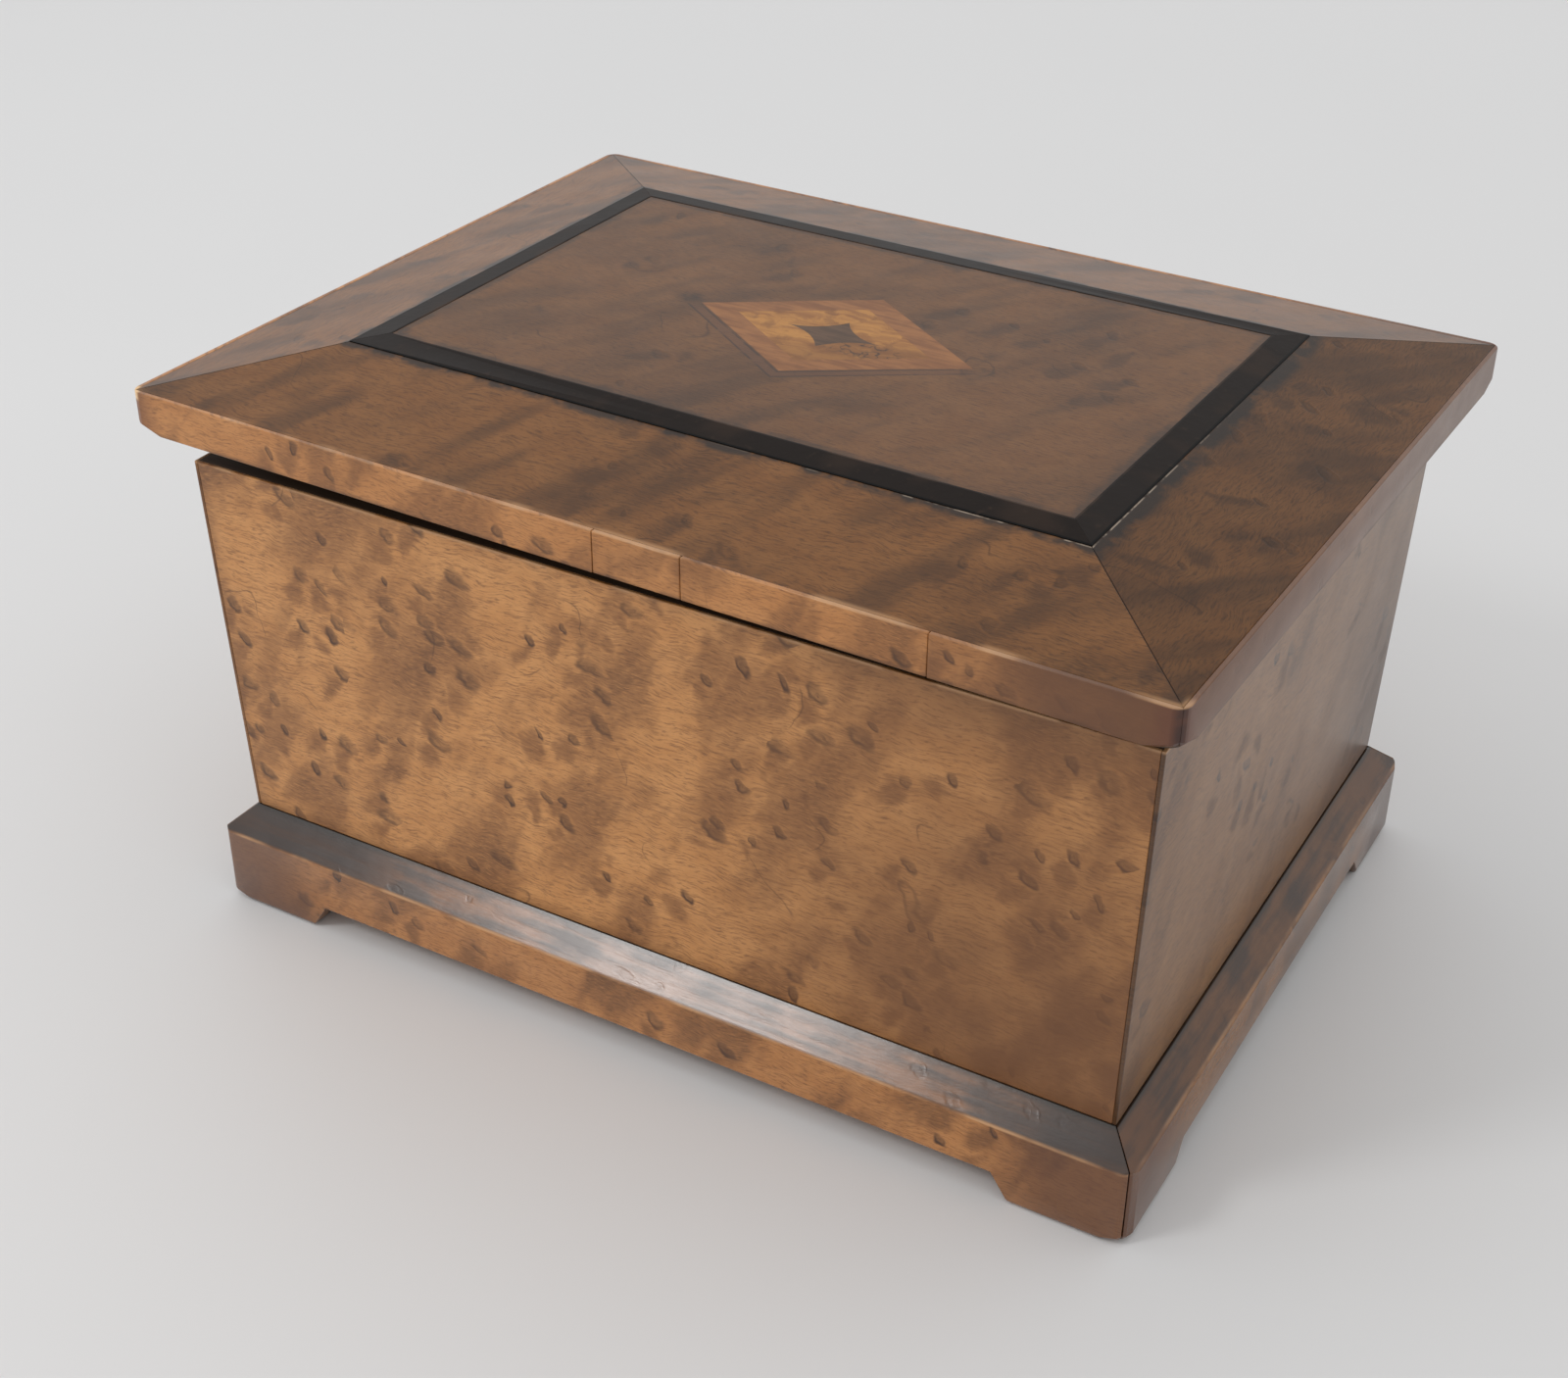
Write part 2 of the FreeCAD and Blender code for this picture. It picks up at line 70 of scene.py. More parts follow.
# Sizes in millimetres, as in the solids. A half runs from the middle of the box to its outside
CASE_HALF = Vector((125.0, 90.0))
CASE_HEIGHT = 103.0
FLARE = 2.8 / CASE_HEIGHT
PLINTH_HALF = Vector((132.4, 97.4))
PLINTH_BEVEL = 6.8
LID_HALF = Vector((138.0, 102.5))
MITRE = LID_HALF.x - LID_HALF.y
EDGE_JOINT = 82.0
BEVEL_OUTER = Vector((100.0, 64.5))
BEVEL_WIDTH = 7.5

# The lozenge's half diagonals, and the distance from its middle to a side
LOZENGE = Vector((39.0, 26.0))
LOZENGE_DEPTH = 21.6

# Tolerances and the floor in metres, angles between faces, and the facets of a worn corner in degrees
SAME_PLACE = 0.000002
LEAST_CUT = 0.00001
CUT_TOLERANCE = 0.000001
FLOOR_SIZE = 14.0
FLOOR_DROP = 0.0001
FLAT_ANGLE = math.radians(0.3)
SMOOTH_ANGLE = math.radians(28)
ARRIS_ANGLE = math.radians(40)
CORNER_FACETS = ((18, 0), (36, 0), (54, 0), (72, 0), (45, 28), (45, 52), (20, 45), (70, 45))
FOOT_FACETS = (22, 45, 68)

# Polish of the golden veneers, levels of noise where clouds come up, and the cut of veneer on each part of the lid
GOLD_POLISH = {"Coat Weight": 0.15, "Coat Roughness": 0.16, "Specular IOR Level": 0.45}
GOLD_CLOUDS = (0.455, 0.585)
FAINT_CLOUDS = (0.40, 0.82)
LID_CLOUDS = (0.44, 0.72)
LID_CUT = {"front": 28.77, "back": 28.40, "left": 28.40, "right": 28.77, "panel": 26.92}

# Stains, glue, bare wood and darker joins; the groove line and the rim under the lid are painted shadow, and the
# scraped line is partly painted highlight
FOOT_RED = (0.098, 0.036, 0.016)
BLACK_STAIN = (0.022, 0.013, 0.010)
RUN_STAIN = (0.016, 0.012, 0.010)
CASE_JOIN_DARK = (0.010, 0.007, 0.005)
MITRE_LINE = (0.012, 0.008, 0.006)
SCRAPED_AND_LIT_LINE = (0.50, 0.40, 0.31)
NEAR_SIDE_STRIP = (0.105, 0.042, 0.020)
NEAR_SIDE_STRIP_LINE = (0.018, 0.010, 0.007)
CORNER_RED = (0.115, 0.034, 0.015)
BROKEN_CORNER = (0.028, 0.008, 0.005)
PALE_CHIP = (0.80, 0.52, 0.26)
THIN_EBONY = (0.034, 0.021, 0.015)
RUBBED_EBONY = (0.075, 0.045, 0.030)
GROOVE_SHADOW = (0.002, 0.002, 0.002)
GLUE = (0.030, 0.014, 0.008)
CRACK = (0.035, 0.018, 0.010)
RIM_SHADOW = (0.018, 0.008, 0.005)
BRASS = (0.72, 0.50, 0.20)
BRASS_BLOOM = (0.28, 0.17, 0.08)

# Light and dark tone of each plain wood
BORDER_WOOD = ((0.30, 0.120, 0.034), (0.195, 0.072, 0.021))
FIELD_BURR = ((0.45, 0.200, 0.040), (0.265, 0.102, 0.022))
STAR_WOOD = ((0.105, 0.050, 0.022), (0.068, 0.033, 0.015))
# The neck's near-black tone is painted shade: it stands in the shadow under the lid
SHADED_NECK_WOOD = ((0.040, 0.016, 0.008), (0.018, 0.008, 0.005))
DRAWER_WOOD = ((0.125, 0.046, 0.019), (0.062, 0.022, 0.010))
GROUND_WOOD = ((0.46, 0.29, 0.145), (0.30, 0.165, 0.075))


class BoxFinish(bpy.types.PropertyGroup):
    """Colours and small sizes of the finish."""
    case_light: bpy.props.FloatVectorProperty(
        name="Case gold", description="Light tone of the case veneer", subtype="COLOR",
        default=(0.585, 0.275, 0.091))
    case_dark: bpy.props.FloatVectorProperty(
        name="Case cloud", description="Dark clouds of the case veneer", subtype="COLOR",
        default=(0.165, 0.066, 0.020))
    lid_light: bpy.props.FloatVectorProperty(
        name="Lid brown", description="Light tone of the lid's top", subtype="COLOR",
        default=(0.232, 0.096, 0.027))
    lid_dark: bpy.props.FloatVectorProperty(
        name="Lid shadow", description="Dark streaks of the lid's top", subtype="COLOR",
        default=(0.066, 0.028, 0.010))
    ebony: bpy.props.FloatVectorProperty(
        name="Ebonised strip", description="Stained strip round the panel", subtype="COLOR",
        default=(0.013, 0.009, 0.0075))
    # The worn colour also serves for painted highlights along the case rim and the front arrises
    worn: bpy.props.FloatVectorProperty(
        name="Worn arris", description="Bare wood where the polish is rubbed away", subtype="COLOR",
        default=(0.55, 0.31, 0.15))
    arris: bpy.props.FloatProperty(
        name="Arris", description="Rounding of the worn edges", default=0.0006, unit="LENGTH")
    foot_corner: bpy.props.FloatProperty(
        name="Foot corner", description="Rounding of the plinth's upright corners", default=0.0036, unit="LENGTH")
    foot_edge: bpy.props.FloatProperty(
        name="Foot edge", description="Rounding of the feet where they meet the floor", default=0.0016, unit="LENGTH")
    lid_corner: bpy.props.FloatProperty(
        name="Lid corner", description="Rounding of the lid's upright corners", default=0.0034, unit="LENGTH")
    eye_spacing: bpy.props.FloatProperty(
        name="Eye spacing", description="Usual distance between bird's eyes", default=0.010, unit="LENGTH")


class BoxStudio(bpy.types.PropertyGroup):
    """Camera, lights and floor."""
    camera_place: bpy.props.FloatVectorProperty(
        name="Camera", description="Where the camera stands", subtype="TRANSLATION",
        default=(0.25202, -0.46300, 0.38525))
    camera_aim: bpy.props.FloatVectorProperty(
        name="Aim", description="Point in the middle of the picture", subtype="TRANSLATION",
        default=(0.00532, -0.03236, 0.075))
    camera_roll: bpy.props.FloatProperty(
        name="Roll", description="Tilt of the camera about its line of sight", subtype="ANGLE",
        default=math.radians(0.408))
    lens: bpy.props.FloatProperty(
        name="Lens", description="Focal length of the camera", default=52.92, unit="CAMERA")
    window_place: bpy.props.FloatVectorProperty(
        name="Window", description="Where the window light stands", subtype="TRANSLATION",
        default=(-0.63, -0.94, 1.14))
    window_aim: bpy.props.FloatVectorProperty(
        name="Window aim", description="Point that the window light faces", subtype="TRANSLATION",
        default=(0.0, 0.0, 0.05))
    window_size: bpy.props.FloatProperty(
        name="Window size", description="Breadth of the window light", default=0.36, unit="LENGTH")
    window_power: bpy.props.FloatProperty(
        name="Window power", description="Power of the window light", default=4.2, unit="POWER")
    sky_level: bpy.props.FloatProperty(
        name="Room light", description="Strength of the pale room", default=0.86, subtype="FACTOR")
    floor_color: bpy.props.FloatVectorProperty(
        name="Floor", description="Colour of the floor", subtype="COLOR", default=(0.74, 0.74, 0.742))


class Wire:
    """A shader socket that takes part in Python arithmetic by adding Math nodes."""

    def __init__(self, kit, socket):
        self.kit = kit
        self.socket = socket

    def math(self, operation, *values):
        return self.kit.node("ShaderNodeMath", {"operation": operation}, dict(enumerate(values)))

    def __add__(self, other):
        return self.math("ADD", self, other)

    def __radd__(self, other):
        return self.math("ADD", other, self)

    def __sub__(self, other):
        return self.math("SUBTRACT", self, other)

    def __rsub__(self, other):
        return self.math("SUBTRACT", other, self)

    def __mul__(self, other):
        return self.math("MULTIPLY", self, other)

    def __rmul__(self, other):
        return self.math("MULTIPLY", other, self)

    def __truediv__(self, other):
        return self.math("DIVIDE", self, other)

    def __rtruediv__(self, other):
        return self.math("DIVIDE", other, self)

    def __neg__(self):
        return self.math("SUBTRACT", 0, self)

    def __abs__(self):
        return self.math("ABSOLUTE", self)

    def above(self, low, high):
        """0 below low, 1 above high, with a soft step between."""
        return self.kit.node("ShaderNodeMapRange", {"interpolation_type": "SMOOTHSTEP"},
                             {"Value": self, "From Min": low, "From Max": high})

    def near(self, middle, reach):
        """1 at the middle, 0 beyond the reach on either side."""
        return 1 - abs(self - middle).above(0, reach)

    def most(self, other):
        return self.math("MAXIMUM", self, other)

    def span(self, other):
        """Distance covered by two steps taken square to each other."""
        return self.math("SQRT", self * self + other * other)

    def output(self, name):
        """Another output of the node that this socket belongs to."""
        return Wire(self.kit, self.socket.node.outputs[name])


class Finish:
    """One material: its shader, and one method that makes any node."""

    def __init__(self, name, shader_settings=None):
        self.material = bpy.data.materials.new(name)
        self.material.use_nodes = True
        self.tree = self.material.node_tree
        self.tree.nodes.clear()
        ending = self.tree.nodes.new("ShaderNodeOutputMaterial")
        self.shader = self.tree.nodes.new("ShaderNodeBsdfPrincipled")
        self.tree.links.new(self.shader.outputs[0], ending.inputs["Surface"])
        for socket, value in (shader_settings or {}).items():
            self.shader.inputs[socket].default_value = value

    def plug(self, socket, value):
        """Link a wire to a socket, or set the socket to a number or colour."""
        if isinstance(value, Wire):
            self.tree.links.new(value.socket, socket)
        elif hasattr(value, "__len__") and len(value) == 3 and len(socket.default_value) == 4:
            socket.default_value = (*value, 1.0)
        else:
            socket.default_value = value

    def node(self, kind, settings=None, inputs=None, output=0):
        """A node with its settings made first, then its sockets set or linked."""
        made = self.tree.nodes.new(kind)
        for key, value in (settings or {}).items():
            setattr(made, key, value)
        for key, value in (inputs or {}).items():
            self.plug(made.inputs[key], value)
        return Wire(self, made.outputs[output])

    def place(self):
        """Object coordinates in millimetres, as three wires."""
        where = self.node("ShaderNodeTexCoord", output="Object")
        parts = self.node("ShaderNodeSeparateXYZ", inputs={0: where})
        return [parts.output(axis) * PER_M for axis in "XYZ"]

    def vector(self, x, y, z=0.0):
        return self.node("ShaderNodeCombineXYZ", inputs={0: x, 1: y, 2: z})

    def noise(self, where, size, detail=2.0, roughness=0.5, output=0):
        """Noise whose blotches are about one size across, in millimetres."""
        return self.node("ShaderNodeTexNoise", {"noise_dimensions": "3D"},
                         {"Vector": where, "Scale": 1 / size, "Detail": detail, "Roughness": roughness}, output)

    def warp(self, where, size, amount):
        """A place pushed about by noise of one size, up to half the amount either way."""
        drift = self.noise(where, size, detail=1.5, output="Color")
        return self.node("ShaderNodeVectorMath", {"operation": "MULTIPLY_ADD"},
                         {0: drift, 1: (amount, amount, 0.0), 2: where})

    def blend(self, factor, first, second):
        """Mix of two colours."""
        return self.node("ShaderNodeMix", {"data_type": "RGBA", "clamp_factor": True},
                         {0: factor, 6: first, 7: second}, output=2)

    def finish(self, color, roughness, height=None, strength=0.2, depth=0.0003):
        """Plug in what varies over the wood, and hand back the material."""
        self.plug(self.shader.inputs["Base Color"], color)
        self.plug(self.shader.inputs["Roughness"], roughness)
        if height is not None:
            bump = self.node("ShaderNodeBump", inputs={"Strength": strength, "Distance": depth, "Height": height})
            self.plug(self.shader.inputs["Normal"], bump)
        return self.material


def tinted(color, red, green, blue):
    return color[0] * red, color[1] * green, color[2] * blue


def dimmed(color, level):
    return tinted(color, level, level, level)


def lid_place(kit):
    """Coordinates square to the lid, which stands a little turned about its pivot."""
    x, y, z = kit.place()
    along, across = x - LID_PIVOT.x, y - LID_PIVOT.y
    cos, sin = math.cos(LID_TURN), math.sin(LID_TURN)
    return along * cos + across * sin + LID_PIVOT.x, across * cos - along * sin + LID_PIVOT.y, z


def past_bevel(x, y):
    """Distance outwards from the foot of the ebonised bevel."""
    return (abs(x) - BEVEL_OUTER.x).most(abs(y) - BEVEL_OUTER.y)


def in_lozenge(x, y):
    """0 in the middle of the lozenge, 1 on its outline."""
    return abs(x) / LOZENGE.x + abs(y) / LOZENGE.y


def eye_field(kit, where, spacing, share, crowd):
    """Steps right and up from the nearest eye, its own random colour, and whether it is there."""
    eye = kit.node("ShaderNodeTexVoronoi", {"voronoi_dimensions": "2D"},
                   {"Vector": where, "Scale": 1 / spacing}, output="Position")
    offset = kit.node("ShaderNodeVectorMath", {"operation": "SUBTRACT"}, {0: where, 1: eye})
    right = kit.node("ShaderNodeSeparateXYZ", inputs={0: offset})
    own = kit.node("ShaderNodeSeparateColor", inputs={0: eye.output("Color")})
    there = (own + (crowd - 0.5) * 2.4).above(1 - share, 1.08 - share)
    return right, right.output("Y"), own, there


def bird_eyes(kit, where, spacing, share):
    """Bird's eyes, crowded in places: dark oval, bright lip, heart, and the shadow that trails to their lower left."""
    wobble = kit.warp(kit.warp(where, 15.0, 7.0), 2.6, 2.3)
    crowd = kit.noise(where, 42.0, detail=1.0)

    # Each eye is an oval with its own size and lean, lit from the upper right
    right, up, own, there = eye_field(kit, wobble, spacing, share, crowd)
    reach = own.output("Green") * 0.8 + 0.95
    lean = own.output("Blue") * 1.5 + 0.25
    far = ((right - up * lean) * 0.48).span((right * lean + up) * 0.78) / reach
    lit = (right * 0.6 + up * 0.8) / (far * reach + 0.4)
    strength = there * (own.output("Blue") * 0.6 + 0.6)
    body = 1 - far.above(0.45, 1.50)
    dark_lip = (far.near(1.05, 0.60) * (0.36 - lit * 0.40) + body * 0.42) * strength
    bright_lip = far.near(1.6, 0.45) * there * lit.above(0.15, 0.9)
    heart = (1 - far.above(0.0, 0.5)) * there

    # The same eyes, seen from a shifted place, throw a long soft shadow
    trail = kit.node("ShaderNodeVectorMath", {"operation": "ADD"}, {0: wobble, 1: (2.6, 4.4, 0.0)})
    aside, below, _, trailing = eye_field(kit, trail, spacing, share, crowd)
    border = kit.node("ShaderNodeTexVoronoi", {"voronoi_dimensions": "2D", "feature": "DISTANCE_TO_EDGE"},
                      {"Vector": trail, "Scale": 1 / spacing})
    length, breadth = (aside * 0.53 + below * 0.85) / 10.0, (aside * 0.85 - below * 0.53) / 6.2
    fringe = kit.noise(where, 4.2, detail=2.5)
    spread = length.span(breadth) + (fringe - 0.5)
    shadow = (1 - spread.above(0.15, 1.05)) * trailing * (border * spacing).above(0.0, 2.6)
    return dark_lip, bright_lip, heart, shadow, crowd


def figured_veneer(kit, u, v, light, dark, cut, share=0.5, slant=-0.45, cloud=25.0, clouded=GOLD_CLOUDS,
                   eye_scale=1.0, eye_depth=1.2):
    """Cloudy bird's-eye veneer with short wavy fibres and hair lines. Returns colour, height and cloudiness.

    The cut is the part of the log that a sheet comes from, and the share is how many of its eyes show.
    """
    spacing = bpy.context.scene.box_finish.eye_spacing * PER_M * eye_scale
    shift_u, shift_v = cut * 57.0, cut * 31.0
    where = kit.vector(u + shift_u, v + shift_v, cut)
    dark_lip, bright_lip, heart, shadow, crowd = bird_eyes(kit, where, spacing, share)

    # Clouds lean with the figure and gather where the eyes crowd
    leaning = kit.vector((u + v * slant) * 1.3 + shift_u, v * 0.70 + shift_v, cut)
    patches = kit.noise(kit.warp(leaning, 9.0, 8.0), cloud, detail=3.0, roughness=0.52)
    massed = (patches * 0.72 + crowd * 0.30).above(*clouded)
    tone = (massed * 0.82).most(shadow * 0.95)

    # Fibres follow a slow wave and bend at the eyes
    wave = kit.noise(where, 13.0, detail=2.0)
    flow = v + (wave - 0.5) * 5.0 - heart * 1.2
    fibre = kit.noise(kit.vector(u * 0.20, flow * 1.9, cut), 1.0, detail=3.0, roughness=0.68)
    dash = kit.noise(kit.vector(u * 0.50, flow * 2.7, cut + 4.0), 1.0, detail=2.0)
    glow = kit.noise(kit.vector(u * 0.6, flow * 1.2, cut + 8.0), 9.0, detail=2.0)

    # Colour, from the ground up to the eyes and a few hair-thin veins
    amber = kit.blend(glow.above(0.34, 0.68) * 0.55, light, tinted(light, 0.78, 0.70, 0.58))
    browned = kit.blend(tone * 0.80, amber, tinted(dark, 1.22, 1.18, 1.12))
    deep = (patches + (dash - 0.5) * 0.35).above(0.56, 0.76) * tone
    clouds = kit.blend(deep * 0.7, browned, tinted(dark, 0.9, 0.88, 0.88))
    streaked = kit.blend(fibre.above(0.47, 0.66) * 0.50, clouds, tinted(dark, 1.1, 1.05, 1.0))
    flecked = kit.blend(dash.above(0.28, 0.46) * -0.22 + 0.22, streaked, tinted(light, 1.25, 1.25, 1.2))
    dashed = kit.blend(dash.above(0.54, 0.70) * 0.50, flecked, tinted(dark, 0.8, 0.75, 0.7))
    lipped = kit.blend(dark_lip * eye_depth, dashed, tinted(dark, 0.42, 0.38, 0.36))
    raised = kit.blend(bright_lip * 0.28, lipped, tinted(light, 0.95, 0.9, 0.82))
    hearted = kit.blend(heart * 0.35, raised, tinted(dark, 0.6, 0.55, 0.5))
    contour = kit.noise(kit.warp(where, 6.0, 3.0), 34.0, detail=1.0)
    vein = contour.near(0.5, 0.0045) * kit.noise(where, 17.0, detail=0.0).above(0.60, 0.66)
    veined = kit.blend(vein * 0.5, hearted, tinted(dark, 0.4, 0.36, 0.33))
    height = bright_lip * 0.3 - dark_lip * 0.45 + heart * 0.12 + fibre * 0.3 - dash * 0.2
    return veined, height, tone


def case_veneer(side):
    """Case wall: golden cloudy veneer, darker towards its foot, its corners and, low down, its end of greater x
    (greater y on the end walls); along the right of its top a band of painted shadow of the lid, partly darker polish;
    a painted highlight along its rim; and the right wall dimmed as painted shade.
    """
    options = bpy.context.scene.box_finish
    kit = Finish(f"{side}_case_veneer", GOLD_POLISH)
    x, y, z = kit.place()
    u, foot_half = (x, CASE_HALF.x) if side in LONG_SIDES else (y, CASE_HALF.y)
    half = foot_half + (z - FOOT_TOP) * FLARE
    # The right wall's colour is dimmed to 0.45 as painted shade, since it faces away from the window; it also shows
    # fewer eyes and fainter clouds
    plain = side == "right"
    depth = 0.45 if plain else 1.0
    light, dark = dimmed(options.case_light, depth), dimmed(options.case_dark, depth)
    color, height, tone = figured_veneer(kit, u, z, light, dark, 0.4 + SIDES.index(side) * 2.3,
                                         share=0.14 if plain else 0.5,
                                         clouded=FAINT_CLOUDS if plain else GOLD_CLOUDS)
    case_mottle = kit.noise(kit.vector(u, z, 9.0), 14.0, detail=3.0)
    # Darker towards the low end of greater x (greater y on the end walls), at the foot and near the corners; the band
    # under the rim at the right is painted shadow of the lid, partly a darker polish
    dusk = (u + 10.0).above(0.0, 115.0) * (1 - (z - FOOT_TOP).above(5.0, 150.0)) * 0.95
    foot = (1 - (z - FOOT_TOP).above(0.0, 5.0)) * 0.5
    corner = (abs(u) - half + 6.0).above(0.0, 6.0) * 0.35
    lid_shadow_and_dark_polish = (u - 25.0).above(0.0, 55.0) * (z - RIM + 34.0).above(0.0, 28.0) * 0.72
    shade = dusk.most(foot).most(corner).most(lid_shadow_and_dark_polish) * (case_mottle.above(0.2, 0.75) * 0.25 + 0.75)
    darker_areas = kit.blend(shade, color, tinted(dark, 0.85, 0.8, 0.75))
    joint = (u - half + 0.9).above(0.0, 0.35).most((-u - half + 0.7).above(0.0, 0.5) * 0.7)
    edged = kit.blend(joint * 0.75, darker_areas, tinted(dark, 0.35, 0.3, 0.3))
    # Painted highlight along the rim's top arris, laid in the worn colour
    lip = z.near(RIM, 1.0) * case_mottle.above(0.42, 0.55)
    worn = kit.blend(lip * 0.75, edged, options.worn[:])
    return kit.finish(worn, 0.26 + tone * 0.06 + case_mottle * 0.08, height)


def plinth_veneer(side):
    """Plinth: veneer with reddish feet, a dark bevel, arrises lightened as rubbed wear and painted highlight, darker
    against the case and along the floor, and the drawer front dimmed as painted shade.
    """
    options = bpy.context.scene.box_finish
    front = side == "front"
    kit = Finish(f"{side}_plinth_veneer", {"Coat Weight": 0.22 if front else 0.08, "Coat Roughness": 0.14})
    x, y, z = kit.place()
    u, outward, half = (x, y, PLINTH_HALF.x) if side in LONG_SIDES else (y, x, PLINTH_HALF.y)
    # The right length, the drawer front, is dimmed to 0.42 as painted shade, since it faces away from the window
    depth = 0.42 if side == "right" else 0.80
    light = tinted(options.case_light, depth, depth * 0.92, depth * 0.87)
    dark = dimmed(options.case_dark, depth)
    color, height, _ = figured_veneer(kit, u, z - abs(outward) * 0.9, light, dark, 6.1 + SIDES.index(side) * 1.9,
                                      share=0.36, cloud=20.0)
    patch = kit.noise(kit.vector(u, z * 1.6, 4.0), 17.0, detail=3.0)
    footed = kit.blend((abs(u) - half + 42.0).above(0.0, 26.0) * 0.78, color, FOOT_RED)
    bevel_foot = FOOT_TOP - PLINTH_BEVEL
    bevel = z.above(bevel_foot - 0.1, bevel_foot + 0.5)
    drawn = kit.noise(kit.vector(u * 0.10, (z - abs(outward)) * 0.9, 7.0), 3.0, detail=3.0)
    plain = kit.blend(bevel * 0.75, footed, tinted(light, 0.40, 0.36, 0.34))
    stain = (patch * 0.5 + drawn * 0.5).above(0.40, 0.62) * (0.9 if front else 0.8)
    if front:
        ends = (-u - half + 80.0).above(0.0, 42.0).most((u - half + 45.0).above(0.0, 26.0))
        stain = stain.most(ends * (drawn.above(0.30, 0.62) * 0.12 + 0.88))
    stained = kit.blend(bevel * stain * 0.95, plain, BLACK_STAIN)
    # Near black along the top, where the plinth meets the case
    darker_at_case = kit.blend(z.above(FOOT_TOP - 1.5, FOOT_TOP - 0.1) * 0.85, stained, CASE_JOIN_DARK)
    # Lighter line at the bevel's foot: rubbed wear and painted highlight, stronger on the front where the window light
    # falls
    arris_rub_and_glint = z.near(bevel_foot, 0.6) * patch.above(0.32, 0.60)
    rubbed = kit.blend(arris_rub_and_glint * (0.8 if front else 0.3), darker_at_case, options.worn[:])
    # Darker along the bottom edge, where the feet meet the floor
    floor_edge_dark = (1 - z.above(0.0, 1.8)) * patch.above(0.3, 0.6)
    floor_edge_darkened = kit.blend(floor_edge_dark * 0.6, rubbed, tinted(dark, 0.35, 0.33, 0.3))
    scored = height + bevel * (drawn * 1.4 + patch * 1.2)
    return kit.finish(floor_edge_darkened, 0.10 + patch * 0.16 + bevel * drawn * 0.10, scored)


def lid_polish(name, cut, along_x, depth, gloss, share, streaks, inset, run, stain):
    """Dark polish of the lid's top: slanting streaks, and black stain that has run from the bevel.

    The inset says how far inside the bevel's foot the stain begins, and the run how far it goes.
    """
    options = bpy.context.scene.box_finish
    kit = Finish(name, {"Coat Weight": 0.04, "Coat Roughness": 0.2, "Specular IOR Level": gloss})
    x, y, z = lid_place(kit)
    u, v = (x, y) if along_x else (y, x)
    light, dark = dimmed(options.lid_light, depth), dimmed(options.lid_dark, depth)
    color, height, _ = figured_veneer(kit, u, v, light, dark, cut, share, slant=-0.7, cloud=34.0, clouded=LID_CLOUDS,
                                      eye_scale=1.25, eye_depth=0.75)
    streak = kit.noise(kit.warp(kit.vector(x - y * 0.55, (y + x * 0.4) * 0.30, 2.0), 9.0, 5.0), 14.0, detail=2.5)
    streaked = kit.blend(streak.above(0.46, 0.68) * streaks, color, dark)
    smear = kit.noise(kit.vector(x, y, 2.0), 9.0, detail=3.5, roughness=0.6)
    bled = (1 - abs(past_bevel(x, y) + inset).above(0.0, run)) * (smear.above(0.32, 0.64) * 0.75 + 0.25)
    stained = kit.blend(bled.above(0.06, 0.66) * stain, streaked, RUN_STAIN)
    corner = (abs(x) - LID_HALF.x + 20.0).above(0.0, 18.0) * (abs(y) - LID_HALF.y + 18.5).above(0.0, 17.0)
    darkened = kit.blend(corner * smear.above(0.35, 0.6) * 0.55, stained, BLACK_STAIN)
    return kit, (x, y, z), darkened, height, smear


def lid_rail_veneer(side):
    """Sloping rail: a scraped line along the bevel, partly painted highlight on the near sides, the mitres, the rubbed
    arris at the front lightened as wear and painted highlight, and the right rail dimmed as painted shade.
    """
    right = side == "right"
    # The right rail's colour is dimmed (depth 0.58) as painted shade, since it faces away from the window
    kit, (x, y, z), polish, height, smear = lid_polish(
        f"lid_{side}_rail_veneer", LID_CUT[side], along_x=side in LONG_SIDES, depth=0.58 if right else 0.91,
        gloss=0.16 if right else 0.28, share=0.34, streaks=0.62, inset=0.0, run=7.0 if right else 4.0, stain=0.88)
    # Pale line at the bevel's foot on the near sides: scraped wood and painted highlight
    bare_and_lit = past_bevel(x, y).near(0.28, 0.30) * smear.above(0.46, 0.56) * (x * 0.5 - y * 0.6).above(35.0, 80.0)
    scraped = kit.blend(bare_and_lit * 0.7, polish, SCRAPED_AND_LIT_LINE)
    mitred = kit.blend((abs(x) - abs(y)).near(MITRE, 0.42) * 0.8, scraped, MITRE_LINE)
    along = kit.noise(kit.vector(x, y, 6.0), 26.0, detail=3.0)
    # Lighter line on the front arris: rubbed wear and painted highlight
    arris_rub_and_glint = z.near(EDGE_TOP, 0.26) * along.above(0.44, 0.60) * (-y - LID_HALF.y + 6.5).above(0.0, 4.0)
    rubbed = kit.blend(arris_rub_and_glint * 0.5, mitred, bpy.context.scene.box_finish.worn[:])
    return kit.finish(rubbed, 0.30 + smear * 0.10, height)


